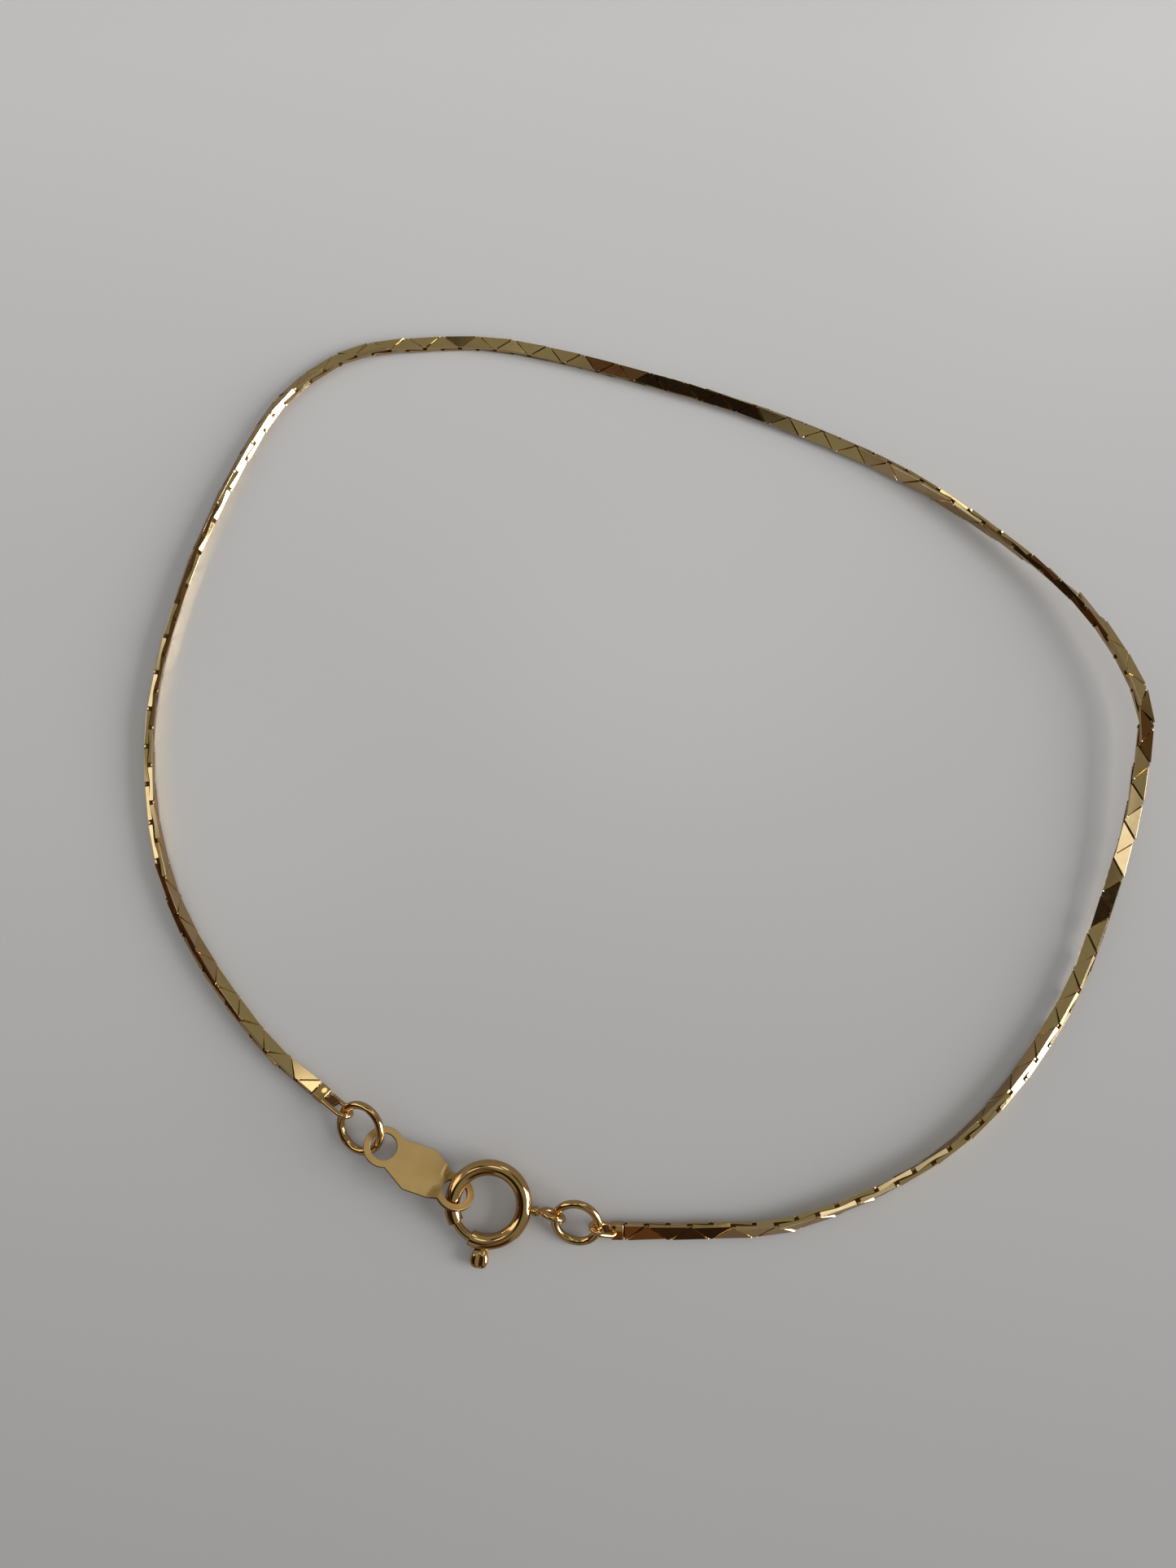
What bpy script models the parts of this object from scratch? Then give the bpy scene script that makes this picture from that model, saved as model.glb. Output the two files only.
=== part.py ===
"""Link bracelet: a twisted cobra chain, closed by a spring ring and a plain tag plate.

It lies closed on a table, +Z up, with its origin at the middle of its underside.
Headings are degrees in plan, anticlockwise from +X.
"""

from math import copysign, cos, pi, radians, sin

import bmesh
import bpy
import numpy as np
from mathutils import Matrix, Vector

MM = 0.001
UP = Vector((0, 0, 1))

# Clearance between two wires that hang in each other, and between a wire and the tag's edge
LINK_PLAY = 0.07 * MM
TAG_PLAY = 0.18 * MM

# Chain: links of two bent plates each, every second link mirrored
CHAIN_WIDTH = 0.90 * MM
CHAIN_THICKNESS = 0.53 * MM
LINK_STEP = 1.23 * MM
PLATE_GAP = 0.34 * MM
SEAM_WIDTH = 0.10 * MM
SEAM_DEPTH = 0.09 * MM
SEAM_MARGIN = 0.11 * MM
SIDE_SEAM_DEPTH = 0.06 * MM
SIDE_SEAM_SWING = 0.08
NOTCH_DEPTH = 0.12 * MM

# Middle line of the chain on the table, from its right end round to its left end: X, Y and lift
ROUTE = [
    (6.6, -9.1, 0.0),
    (11.8, -8.7, 0.0),
    (21.2, -4.5, 0.0),
    (28.2, 3.1, 0.1),
    (32.6, 12.2, 0.6),
    (34.1, 16.9, 1.0),
    (34.9, 21.8, 1.3),
    (33.3, 26.6, 1.1),
    (30.4, 30.8, 0.6),
    (22.7, 37.6, 0.1),
    (13.6, 42.5, 0.0),
    (3.8, 46.1, 0.0),
    (-6.2, 48.7, 0.0),
    (-11.3, 48.8, 0.0),
    (-16.4, 47.9, 0.0),
    (-20.5, 44.8, 0.0),
    (-23.1, 40.3, 0.0),
    (-26.5, 30.6, 0.0),
    (-27.8, 20.3, 0.0),
    (-25.5, 10.3, 0.0),
    (-19.6, 1.8, 0.0),
]
ROUTE_SAMPLES = 24

# Turn of the chain about its own line: share of its length, and degrees
TWIST = [
    (0.00, 20),
    (0.03, 33),
    (0.06, 60),
    (0.09, 75),
    (0.13, 95),
    (0.17, 125),
    (0.20, 140),
    (0.24, 165),
    (0.28, 178),
    (0.32, 195),
    (0.34, 215),
    (0.37, 245),
    (0.40, 265),
    (0.43, 290),
    (0.46, 305),
    (0.49, 315),
    (0.52, 330),
    (0.56, 338),
    (0.61, 352),
    (0.64, 368),
    (0.67, 385),
    (0.70, 395),
    (0.74, 408),
    (0.78, 420),
    (0.81, 428),
    (0.85, 437),
    (0.88, 447),
    (0.91, 475),
    (0.94, 487),
    (0.97, 500),
    (1.00, 515),
]

# Soldered end pieces: a plate that closes the chain and a wire loop
END_PLATE_LENGTH = 0.70 * MM
END_PLATE_BEVEL = 0.06 * MM
END_GAP = 0.08 * MM
END_WIRE = 0.28 * MM
END_LOOP_HEIGHT = 1.18 * MM
END_SOLDER = 0.15 * MM
LEFT_REACH = 1.41 * MM
RIGHT_REACH = 0.765 * MM
LEFT_HEADING = 142
RIGHT_HEADING = -13.8

# Jump rings
LEFT_JUMP_OUTER = 3.25 * MM
RIGHT_JUMP_OUTER = 3.0 * MM
JUMP_WIRE = 0.46 * MM
LEFT_JUMP_HEADING = 144.8
LEFT_JUMP_RISE = 39
LEFT_JUMP_TILT = 33
RIGHT_JUMP_HEADING = -16.6
RIGHT_JUMP_RISE = 72
RIGHT_JUMP_TILT = 34

# Tag plate
TAG_HOLES_APART = 4.82 * MM
TAG_HOLE = 1.54 * MM
TAG_LOOP = 2.32 * MM
TAG_WIDTH = 2.85 * MM
TAG_CORNER_SHIFT = 0.25 * MM
TAG_THICKNESS = 0.22 * MM
TAG_HEADING = 148.5
TAG_TILT = 23
TAG_TWIST = 21
TAG_TWIST_START = 1.10 * MM
TAG_TWIST_END = 1.75 * MM
LOOP_ARC = 125

# Spring ring
RING_OUTER = 5.0 * MM
RING_TUBE = 0.89 * MM
RING_BORE = 0.76 * MM
RING_PLACE = Vector((-5.71 * MM, -7.67 * MM, 0))
RING_TILT = 8
TAG_ON_RING = 161
MOUTH_START = 207.5
MOUTH_END = 240.8

# Eye soldered to the spring ring by a small ball
EYE_OUTER = 1.56 * MM
EYE_WIRE = 0.34 * MM
EYE_STANDOFF = 0.47 * MM
EYE_PLACE = -8.7
EYE_HEADING = -20
EYE_LEAN = 10
EYE_DROP = 0.06 * MM
BALL_RADIUS = 0.29 * MM

# Sliding latch: a tongue in the tube, with a thumb knob through the tube's slot
LATCH_ROD = 0.50 * MM
LATCH_TRAVEL = 40
TONGUE_SEAT = 7
TONGUE_TAIL = 15
KNOB_PLACE = 261
KNOB_TIP = 3.54 * MM
KNOB_WIDTH = 1.03 * MM
KNOB_THICKNESS = 0.62 * MM
NECK_WIDTH = 0.74 * MM
NECK_THICKNESS = 0.32 * MM
NECK_LENGTH = 0.30 * MM
SLOT_PLAY = 0.06 * MM
GROOVE_WIDTH = 0.14 * MM
GROOVE_DEPTH = 0.16 * MM

# Facets
RING_STEP = 7
RING_SIDES = 12
TONGUE_SIDES = 10
JUMP_SEGMENTS = 32
LOOP_SEGMENTS = 24
WIRE_SIDES = 6
HOLE_SEGMENTS = 20

# Middle lines of the round pieces
ring_radius = (RING_OUTER - RING_TUBE) / 2
left_radius = (LEFT_JUMP_OUTER - JUMP_WIRE) / 2
right_radius = (RIGHT_JUMP_OUTER - JUMP_WIRE) / 2
eye_radius = (EYE_OUTER - EYE_WIRE) / 2


def heading(degrees):
    """A level direction of unit length."""
    return Vector((cos(radians(degrees)), sin(radians(degrees)), 0))


def lying(centre, rise, tilt):
    """Place of a flat piece whose side towards the heading rise is lifted by tilt."""
    turn = Matrix.Rotation(radians(tilt), 4, heading(rise).cross(UP))
    return Matrix.Translation(centre) @ turn


def framed(centre, along, side):
    """Place of a piece whose local X and Y run along two directions."""
    columns = (along, side, along.cross(side))
    return Matrix.Translation(centre) @ Matrix(columns).transposed().to_4x4()


def metal(name, colour, roughness):
    material = bpy.data.materials.new(name)
    material.use_nodes = True
    shader = material.node_tree.nodes["Principled BSDF"]
    shader.inputs["Base Color"].default_value = (*colour, 1)
    shader.inputs["Metallic"].default_value = 1
    shader.inputs["Roughness"].default_value = roughness
    return material


def piece(name, shape, material, place=None):
    """An object made of a bmesh, put where it belongs."""
    bmesh.ops.recalc_face_normals(shape, faces=shape.faces)
    mesh = bpy.data.meshes.new(name)
    shape.to_mesh(mesh)
    shape.free()
    mesh.materials.append(material)
    mesh.shade_smooth()
    mesh.set_sharp_from_angle(angle=radians(40))
    made = bpy.data.objects.new(name, mesh)
    bpy.context.collection.objects.link(made)
    made.matrix_world = place or Matrix()
    return made


def joined(target, helper, operation):
    """Let a helper object cut or join a piece."""
    helper.hide_render = True
    helper.display_type = "WIRE"
    change = target.modifiers.new(helper.name, "BOOLEAN")
    change.operation = operation
    change.object = helper
    helper.parent = target
    helper.matrix_parent_inverse = target.matrix_world.inverted()


def ring_of(shape, middle, outward, radius, sides):
    """One section of a wire whose middle line lies in the local XY plane."""
    turns = [2 * pi * (i + 0.5) / sides for i in range(sides)]
    return [shape.verts.new(middle + radius * (cos(a) * outward + sin(a) * UP)) for a in turns]


def skin(shape, first, second):
    """Side faces between two sections of equal count."""
    for i in range(len(first)):
        j = (i + 1) % len(first)
        shape.faces.new((first[i], first[j], second[j], second[i]))


def closed_wire(radius, straight, wire, sides, segments):
    """A wire ring in the local XY plane, its two halves a straight run apart along X."""
    shape = bmesh.new()
    sections = []
    for i in range(segments):
        a = 2 * pi * (i + 0.5) / segments
        outward = Vector((cos(a), sin(a), 0))
        middle = radius * outward + Vector((copysign(straight / 2, cos(a)), 0, 0))
        sections.append(ring_of(shape, middle, outward, wire / 2, sides))
    for i in range(segments):
        skin(shape, sections[i], sections[(i + 1) % segments])
    return shape


def arc_sections(shape, start, end, radius, sides):
    """Sections of a bent tube round the spring ring, between two angles in degrees."""
    count = max(2, round((end - start) / RING_STEP))
    sections = []
    for i in range(count + 1):
        out = heading(start + (end - start) * i / count)
        sections.append(ring_of(shape, ring_radius * out, out, radius, sides))
    for i in range(count):
        skin(shape, sections[i], sections[i + 1])
    return sections


def block(corner, opposite):
    """A box between two local corners."""
    shape = bmesh.new()
    bmesh.ops.create_cube(shape, size=1)
    size = opposite - corner
    bmesh.ops.scale(shape, vec=size, verts=shape.verts)
    bmesh.ops.translate(shape, vec=(corner + opposite) / 2, verts=shape.verts)
    return shape


def thicken(shape, outline, height):
    """Raise a flat outline to a plate centred on the local XY plane."""
    face = shape.faces.new([shape.verts.new((*p, -height / 2)) for p in outline])
    raised = bmesh.ops.extrude_face_region(shape, geom=[face])["geom"]
    top = [v for v in raised if isinstance(v, bmesh.types.BMVert)]
    bmesh.ops.translate(shape, vec=height * UP, verts=top)
    return shape


def curve_through(points):
    """A smooth curve through the points, with the length up to each of its samples."""
    whole = [2 * points[0] - points[1], *points, 2 * points[-1] - points[-2]]
    samples = []
    for a, b, c, d in zip(whole, whole[1:], whole[2:], whole[3:]):
        t0 = (b - a).length ** 0.5
        t1 = t0 + (c - b).length ** 0.5
        t2 = t1 + (d - c).length ** 0.5
        for i in range(ROUTE_SAMPLES):
            t = t0 + (t1 - t0) * i / ROUTE_SAMPLES
            ab = a.lerp(b, t / t0)
            bc = b.lerp(c, (t - t0) / (t1 - t0))
            cd = c.lerp(d, (t - t1) / (t2 - t1))
            samples.append(ab.lerp(bc, t / t1).lerp(bc.lerp(cd, (t - t0) / (t2 - t0)), (t - t0) / (t1 - t0)))
    samples.append(points[-1])
    line = np.array(samples)
    steps = np.linalg.norm(np.diff(line[:, :2], axis=0), axis=1)
    return line, np.concatenate([[0], np.cumsum(steps)])


def chain_frame(line, length, along):
    """Middle, travel, wide-face normal and narrow-face normal at one length along the route."""
    x, y, lift = (np.interp(along, length, line[:, i]) for i in range(3))
    probe = LINK_STEP / 2
    before = [np.interp(along - probe, length, line[:, i]) for i in range(2)]
    after = [np.interp(along + probe, length, line[:, i]) for i in range(2)]
    travel = Vector((after[0] - before[0], after[1] - before[1], 0)).normalized()
    inward = UP.cross(travel)
    shares, turns = zip(*TWIST)
    turn = radians(np.interp(along / length[-1], shares, turns))
    wide = cos(turn) * UP - sin(turn) * inward
    narrow = sin(turn) * UP + cos(turn) * inward
    rest = abs(cos(turn)) * CHAIN_THICKNESS / 2 + abs(sin(turn)) * CHAIN_WIDTH / 2
    return Vector((x, y, lift + rest)), travel, wide, narrow


def chain_section(shape, middle, wide, narrow, gap_on_b):
    """Twelve points round the chain: corner A, the top seam, B, a side seam, C, the seam below, D, a side seam.

    The seam lies near corners B and D where their plates have a gap, and near A and C half a step on.
    """
    across = CHAIN_WIDTH / 2
    thick = CHAIN_THICKNESS / 2
    seam = across - SEAM_MARGIN
    if gap_on_b:
        seam = -seam
    side = SIDE_SEAM_SWING * CHAIN_THICKNESS
    if not gap_on_b:
        side = -side
    half = [
        (thick, across),
        (thick, seam + SEAM_WIDTH / 2),
        (thick - SEAM_DEPTH, seam),
        (thick, seam - SEAM_WIDTH / 2),
        (thick, -across),
        (-side, -across + SIDE_SEAM_DEPTH),
    ]
    points = half + [(-a, -b) for a, b in half]
    return [shape.verts.new(middle + a * wide + b * narrow) for a, b in points]


def plate_gap(shape, before, after, notches, gap_on_b):
    """Skin between the ends of two plates, with a notch at each of two opposite corners."""
    spans = [(2, 3, 4, 5), (8, 9, 10, 11)] if gap_on_b else [(11, 0, 1, 2), (5, 6, 7, 8)]
    notched = set()
    for span, notch in zip(spans, notches):
        loop = [before[i] for i in span] + [after[i] for i in reversed(span)]
        for i in range(len(loop)):
            shape.faces.new((loop[i], loop[(i + 1) % len(loop)], notch))
        notched.update(span[:-1])
    for i in range(len(before)):
        if i not in notched:
            j = (i + 1) % len(before)
            shape.faces.new((before[i], before[j], after[j], after[i]))


def cobra_chain(line, length, material):
    """The whole chain as one body: plates in four corner rows round a core, parted by seams."""
    start = END_PLATE_LENGTH + END_GAP
    room = length[-1] - 2 * start
    count = round(room / LINK_STEP)
    step = room / count
    shape = bmesh.new()
    sunk = {True: (1, -1), False: (1, 1)}
    last = None
    for k in range(count + 1):
        gap_on_b = k % 2 == 0
        at = start + k * step
        ends = []
        for shift in (-PLATE_GAP / 2, PLATE_GAP / 2):
            if (k, shift < 0) in ((0, True), (count, False)):
                continue
            place = at if k in (0, count) else at + shift
            middle, _, wide, narrow = chain_frame(line, length, place)
            ends.append(chain_section(shape, middle, wide, narrow, gap_on_b))
        if len(ends) == 2:
            middle, _, wide, narrow = chain_frame(line, length, at)
            a, b = sunk[gap_on_b]
            corner = (
                a * (CHAIN_THICKNESS / 2 - NOTCH_DEPTH) * wide
                + b * (CHAIN_WIDTH / 2 - NOTCH_DEPTH) * narrow
            )
            notches = [shape.verts.new(middle + corner), shape.verts.new(middle - corner)]
            plate_gap(shape, *ends, notches, gap_on_b)
        if last:
            skin(shape, last, ends[0])
        else:
            shape.faces.new(ends[0])
        last = ends[-1]
    shape.faces.new(last)
    bmesh.ops.triangulate(shape, faces=shape.faces)
    return piece("cobra_chain", shape, material)


def rim_height(radius, rise, tilt, towards):
    """Height of a leaning ring's middle line above its centre, on the side of one heading."""
    return radius * sin(radians(tilt)) * cos(radians(towards - rise))


def end_piece(name, line, length, at_start, plane, radius, towards, material):
    """End plate with its soldered loop, which holds the jump ring that lies in the plane."""
    near = 0 if at_start else length[-1]
    sign = 1 if at_start else -1
    face, travel, wide, narrow = chain_frame(line, length, near + sign * END_PLATE_LENGTH / 2)
    low = Vector((-END_PLATE_LENGTH / 2, -CHAIN_WIDTH / 2, -CHAIN_THICKNESS / 2))
    shape = block(low, -low)
    bmesh.ops.bevel(
        shape, geom=shape.edges, offset=END_PLATE_BEVEL, affect="EDGES", segments=1, clamp_overlap=True
    )
    end = piece(name, shape, material, framed(face, travel, narrow))
    # The jump ring's wire crosses the loop where it comes nearest the chain, and the loop stands square to it
    flat = plane.inverted() @ (plane.translation + heading(towards))
    out = Vector((flat.x, flat.y, 0)).normalized()
    crossing = plane @ (radius * out)
    wire = plane.to_3x3() @ UP.cross(out)
    solder = face - sign * travel * (END_PLATE_LENGTH / 2 - END_SOLDER)
    along = (crossing - solder).normalized()
    far = crossing + along * (JUMP_WIRE / 2 + LINK_PLAY + END_WIRE / 2)
    bend = (END_LOOP_HEIGHT - END_WIRE) / 2
    shape = closed_wire(bend, (far - solder).length - 2 * bend, END_WIRE, WIRE_SIDES, LOOP_SEGMENTS)
    upright = wire.cross(along).normalized()
    loop = piece(name + "_wire", shape, material, framed((far + solder) / 2, along, upright))
    joined(end, loop, "UNION")
    return end


def tag_plate(left, right, material):
    """Flat plate with a holed loop at each end, the right loop twisted to pass the spring ring's tube."""
    reach = (right - left).length / 2
    shape = bmesh.new()
    arc = [radians(LOOP_ARC * (2 * i / HOLE_SEGMENTS - 1)) for i in range(HOLE_SEGMENTS + 1)]
    rim = [(reach + TAG_LOOP / 2 * cos(a), TAG_LOOP / 2 * sin(a)) for a in arc]
    corner = (TAG_CORNER_SHIFT, TAG_WIDTH / 2)
    half = [*rim, corner]
    outline = half + [(-x, -y) for x, y in half]
    edges = []
    for side in (1, -1):
        turns = [2 * pi * i / HOLE_SEGMENTS for i in range(HOLE_SEGMENTS)]
        hole = [(side * reach + TAG_HOLE / 2 * cos(a), TAG_HOLE / 2 * sin(a)) for a in turns]
        edges += closed_line(shape, hole)
    edges += closed_line(shape, outline)
    bmesh.ops.triangle_fill(shape, edges=edges, use_beauty=True, use_dissolve=False)
    raised = bmesh.ops.extrude_face_region(shape, geom=shape.faces[:])["geom"]
    top = [v for v in raised if isinstance(v, bmesh.types.BMVert)]
    bmesh.ops.translate(shape, vec=TAG_THICKNESS * UP, verts=top)
    bmesh.ops.translate(shape, vec=-TAG_THICKNESS / 2 * UP, verts=shape.verts)
    for share in (0, 0.33, 0.67, 1):
        cut = TAG_TWIST_START + share * (TAG_TWIST_END - TAG_TWIST_START)
        everything = [*shape.verts, *shape.edges, *shape.faces]
        bmesh.ops.bisect_plane(shape, geom=everything, plane_co=(cut, 0, 0), plane_no=(1, 0, 0))
    for vert in shape.verts:
        share = (vert.co.x - TAG_TWIST_START) / (TAG_TWIST_END - TAG_TWIST_START)
        turn = -radians(TAG_TWIST) * min(1, max(0, share))
        vert.co = Matrix.Rotation(turn, 3, "X") @ vert.co
    along = (right - left).normalized()
    level = UP.cross(along).normalized()
    side = Matrix.Rotation(-radians(TAG_TILT), 3, along) @ level
    return piece("tag_plate", shape, material, framed((left + right) / 2, along, side))


def closed_line(shape, points):
    """Edges round a closed flat line."""
    verts = [shape.verts.new((x, y, 0)) for x, y in points]
    return [shape.edges.new((verts[i], verts[(i + 1) % len(verts)])) for i in range(len(verts))]


def spring_ring(place, eye, material):
    """Hollow tube with an open mouth and a slot for the knob, its eye soldered on."""
    shape = bmesh.new()
    start, end = MOUTH_END, MOUTH_START + 360
    outer = arc_sections(shape, start, end, RING_TUBE / 2, RING_SIDES)
    bore = arc_sections(shape, start, end, RING_BORE / 2, RING_SIDES)
    skin(shape, outer[0], bore[0])
    skin(shape, outer[-1], bore[-1])
    body = piece("spring_ring", shape, material, place)

    # Slot from the knob's closed place to its open place
    reach = (NECK_WIDTH / 2 + SLOT_PLAY) / (RING_OUTER / 2)
    angles = np.linspace(
        radians(KNOB_PLACE) - reach, radians(KNOB_PLACE + LATCH_TRAVEL) + reach, round(LATCH_TRAVEL / RING_STEP) + 3
    )
    inner, clear = ring_radius, RING_OUTER / 2 + RING_TUBE / 4
    outline = [(inner * cos(a), inner * sin(a)) for a in angles]
    outline += [(clear * cos(a), clear * sin(a)) for a in reversed(angles)]
    cutter = thicken(bmesh.new(), outline, NECK_THICKNESS + 2 * SLOT_PLAY)
    joined(body, piece("slot", cutter, material, place), "DIFFERENCE")

    ring = closed_wire(eye_radius, 0, EYE_WIRE, WIRE_SIDES, LOOP_SEGMENTS)
    joined(body, piece("eye_wire", ring, material, eye), "UNION")
    ball = bmesh.new()
    bmesh.ops.create_icosphere(ball, subdivisions=2, radius=BALL_RADIUS)
    out = heading(EYE_PLACE)
    seat = place @ (RING_OUTER / 2 * out)
    middle = seat.lerp(eye.translation - eye_radius * heading(EYE_HEADING), 0.37)
    joined(body, piece("eye_ball", ball, material, Matrix.Translation(middle)), "UNION")
    return body


def latch(place, material):
    """Tongue that closes the mouth, with the neck and the grooved thumb knob on it."""
    shape = bmesh.new()
    sections = arc_sections(shape, MOUTH_START - TONGUE_SEAT, KNOB_PLACE + TONGUE_TAIL, LATCH_ROD / 2, TONGUE_SIDES)
    shape.faces.new(sections[0])
    shape.faces.new(sections[-1])
    body = piece("latch", shape, material, place)
    turned = place @ Matrix.Rotation(radians(KNOB_PLACE), 4, "Z")
    neck_end = RING_OUTER / 2 + NECK_LENGTH
    neck = block(
        Vector((ring_radius, -NECK_WIDTH / 2, -NECK_THICKNESS / 2)),
        Vector((neck_end, NECK_WIDTH / 2, NECK_THICKNESS / 2)),
    )
    joined(body, piece("knob_neck", neck, material, turned), "UNION")

    # Thumb piece: as wide as the neck at its root, full width half way, round at the tip
    root = RING_OUTER / 2 + SLOT_PLAY
    run = KNOB_TIP - root
    shares = [(0, 0.72), (0.35, 0.97), (0.6, 1), (0.8, 0.87), (0.93, 0.6), (1, 0.2)]
    side = [(root + run * a, KNOB_WIDTH / 2 * b) for a, b in shares]
    thumb = thicken(bmesh.new(), side + [(x, -y) for x, y in reversed(side)], KNOB_THICKNESS)
    joined(body, piece("knob_thumb", thumb, material, turned), "UNION")
    for face in (1, -1):
        middle = face * KNOB_THICKNESS / 2
        groove = block(
            Vector((root + NECK_LENGTH, -GROOVE_WIDTH / 2, middle - GROOVE_DEPTH)),
            Vector((KNOB_TIP + GROOVE_WIDTH, GROOVE_WIDTH / 2, middle + GROOVE_DEPTH)),
        )
        joined(body, piece("knob_groove", groove, material, turned), "DIFFERENCE")
    return body


def build():
    for old in list(bpy.data.objects):
        bpy.data.objects.remove(old)
    gold = metal("polished_gold", (0.78, 0.56, 0.25), 0.15)
    satin = metal("satin_gold", (0.62, 0.46, 0.22), 0.42)

    # The spring ring leans on its knob, and everything else hangs from it in turn
    knob_drop = KNOB_TIP * sin(radians(RING_TILT)) + KNOB_THICKNESS / 2
    ring = lying(RING_PLACE + knob_drop * UP, 90, RING_TILT)

    right_hole = ring @ (ring_radius * heading(TAG_ON_RING))
    left_rest = left_radius * sin(radians(LEFT_JUMP_TILT)) + JUMP_WIRE / 2
    crossing = left_rest + rim_height(left_radius, LEFT_JUMP_RISE, LEFT_JUMP_TILT, LEFT_JUMP_HEADING + 180)
    drop = right_hole.z - crossing
    level = (TAG_HOLES_APART**2 - drop**2) ** 0.5
    left_hole = right_hole + level * heading(TAG_HEADING) - drop * UP
    hang = left_radius + TAG_HOLE / 2 - JUMP_WIRE / 2 - TAG_PLAY
    left_centre = left_hole + hang * heading(LEFT_JUMP_HEADING)
    left_centre.z = left_rest
    left_jump = lying(left_centre, LEFT_JUMP_RISE, LEFT_JUMP_TILT)

    # The right jump ring rests on the table, and the eye is held a little below its wire
    right_rest = right_radius * sin(radians(RIGHT_JUMP_TILT)) + JUMP_WIRE / 2
    held = rim_height(right_radius, RIGHT_JUMP_RISE, RIGHT_JUMP_TILT, RIGHT_JUMP_HEADING + 180)
    eye_centre = RING_PLACE + (RING_OUTER / 2 + EYE_STANDOFF + EYE_OUTER / 2) * heading(EYE_PLACE)
    eye_centre.z = right_rest + held - EYE_DROP
    lean = cos(radians(EYE_LEAN)) * UP + sin(radians(EYE_LEAN)) * heading(EYE_HEADING - 90)
    eye = framed(eye_centre, heading(EYE_HEADING), lean)

    reach = eye_radius + right_radius - (EYE_WIRE + JUMP_WIRE) / 2 - LINK_PLAY
    right_centre = eye_centre + reach * heading(RIGHT_JUMP_HEADING)
    right_centre.z = right_rest
    right_jump = lying(right_centre, RIGHT_JUMP_RISE, RIGHT_JUMP_TILT)

    right_end = right_centre + (right_radius + RIGHT_REACH) * heading(RIGHT_HEADING)
    left_end = left_centre + (left_radius + LEFT_REACH) * heading(LEFT_HEADING)
    route = [Vector((x, y, lift)) * MM for x, y, lift in ROUTE]
    ends = [Vector((p.x, p.y, 0)) for p in (right_end, left_end)]
    line, length = curve_through([ends[0], *route, ends[1]])

    pieces = [
        cobra_chain(line, length, gold),
        end_piece("end_loop_right", line, length, True, right_jump, right_radius, RIGHT_HEADING, gold),
        end_piece("end_loop_left", line, length, False, left_jump, left_radius, LEFT_HEADING, gold),
        piece(
            "jump_ring_right", closed_wire(right_radius, 0, JUMP_WIRE, WIRE_SIDES, JUMP_SEGMENTS), gold, right_jump
        ),
        piece("jump_ring_left", closed_wire(left_radius, 0, JUMP_WIRE, WIRE_SIDES, JUMP_SEGMENTS), gold, left_jump),
        tag_plate(left_hole, right_hole, satin),
        spring_ring(ring, eye, gold),
        latch(ring, gold),
    ]
    centre_on_origin(pieces)


def centre_on_origin(pieces):
    """Carry all the pieces on one empty, moved so that the origin is the middle of the underside."""
    bracelet = bpy.data.objects.new("bracelet", None)
    bpy.context.collection.objects.link(bracelet)
    bpy.context.view_layer.update()
    seen = bpy.context.evaluated_depsgraph_get()
    corners = []
    for made in pieces:
        mesh = made.evaluated_get(seen).data
        corners += [made.matrix_world @ vert.co for vert in mesh.vertices]
    low = np.min(corners, axis=0)
    high = np.max(corners, axis=0)
    for made in pieces:
        made.parent = bracelet
    bracelet.location = Vector((-(low[0] + high[0]) / 2, -(low[1] + high[1]) / 2, -low[2]))


build()
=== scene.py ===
"""Looks of the link bracelet: plated cobra chain, gold wire, satin tag, pale table and window light."""

from math import cos, pi, radians, sin, sqrt

import bmesh
import bpy
import numpy as np
from mathutils import Matrix, Vector


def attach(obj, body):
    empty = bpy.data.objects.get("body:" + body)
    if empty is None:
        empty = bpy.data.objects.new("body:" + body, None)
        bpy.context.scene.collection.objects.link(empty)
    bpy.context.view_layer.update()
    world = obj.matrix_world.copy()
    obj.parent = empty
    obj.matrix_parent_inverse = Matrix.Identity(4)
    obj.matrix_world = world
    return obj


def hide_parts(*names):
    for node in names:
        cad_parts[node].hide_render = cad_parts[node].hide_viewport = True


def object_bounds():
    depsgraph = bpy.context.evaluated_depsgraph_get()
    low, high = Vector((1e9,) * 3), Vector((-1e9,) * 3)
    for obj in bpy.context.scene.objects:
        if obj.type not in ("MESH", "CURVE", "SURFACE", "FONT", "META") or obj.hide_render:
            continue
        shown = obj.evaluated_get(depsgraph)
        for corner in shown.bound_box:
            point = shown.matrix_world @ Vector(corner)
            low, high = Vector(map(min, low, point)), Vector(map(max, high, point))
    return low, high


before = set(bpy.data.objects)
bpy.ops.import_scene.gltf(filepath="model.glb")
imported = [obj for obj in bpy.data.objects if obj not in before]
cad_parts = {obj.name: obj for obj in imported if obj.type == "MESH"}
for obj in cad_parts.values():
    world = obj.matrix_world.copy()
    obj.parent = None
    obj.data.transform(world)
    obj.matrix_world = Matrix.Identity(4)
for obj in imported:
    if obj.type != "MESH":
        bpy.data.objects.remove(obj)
cad_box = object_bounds()

# The bracelet's sizes are in millimetres, those of the table, light and camera in metres, angles in degrees
MM = 0.001
UP = Vector((0, 0, 1))
SEED = 11
SHARP_ANGLE = 38

# The point of the table under the lens, from which the bracelet's places are measured
TABLE_ORIGIN = Vector((-3.592, -19.087, 0.007)) * MM

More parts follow.
